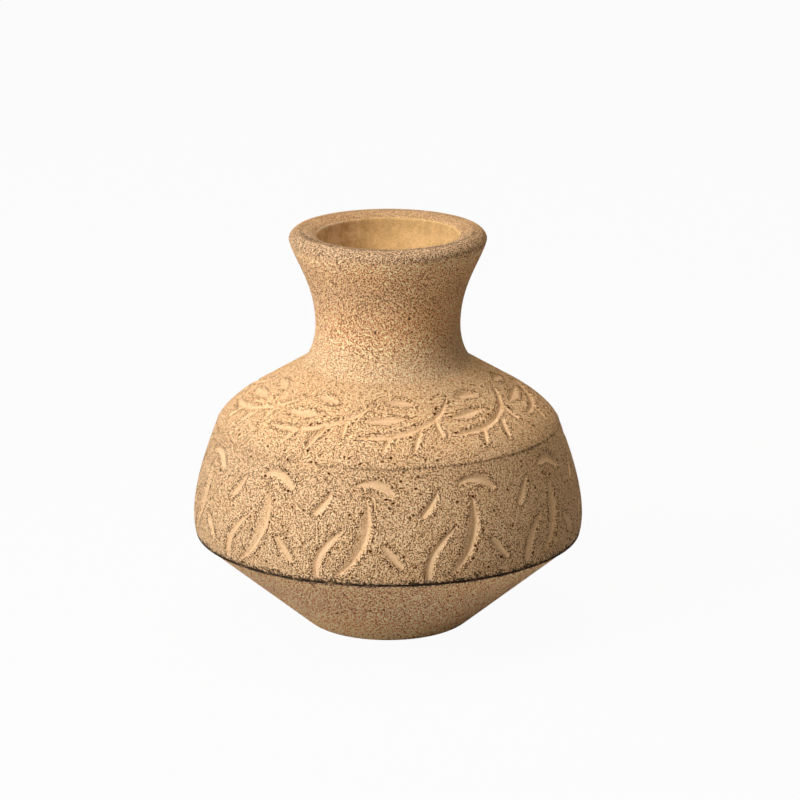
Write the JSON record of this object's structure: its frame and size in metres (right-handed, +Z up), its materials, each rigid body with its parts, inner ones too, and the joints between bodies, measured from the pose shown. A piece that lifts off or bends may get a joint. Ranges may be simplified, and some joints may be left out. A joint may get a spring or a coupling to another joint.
{
  "type": "jar",
  "caption": "Small unglazed stoneware jar with a flat base, coned lower bowl, upright carved belly, sloping carved shoulder and flared neck with a thick rounded open lip.",
  "frame": {"origin": "centre of the flat base, on the surface it stands on", "axes": "+Z up along the axis of the pot, out of the mouth"},
  "size_m": [0.08, 0.08, 0.0825],
  "materials": {
    "stoneware_lower": "unglazed, matte, fine dark speckle, browner than the wall above",
    "slip_lower": "fired slip in the joint, matte, dark brown and ragged",
    "stoneware_belly": "unglazed, matte, sandy buff with dark specks in its pits, clean smooth carving",
    "slip_shoulder": "fired slip in the joint, matte, brown and dotted",
    "stoneware_shoulder": "unglazed, matte, sandy buff with dark specks, the lightest zone, clean smooth carving",
    "stoneware_neck": "unglazed, matte, sandy buff with coarse dark specks outside, smooth orange buff inside the mouth"
  },
  "bodies": {
    "root": {"lower_bowl": "stoneware_lower", "lower_lute": "slip_lower", "belly_wall": "stoneware_belly", "shoulder_lute": "slip_shoulder", "shoulder": "stoneware_shoulder", "neck": "stoneware_neck"}
  },
  "joints": []
}
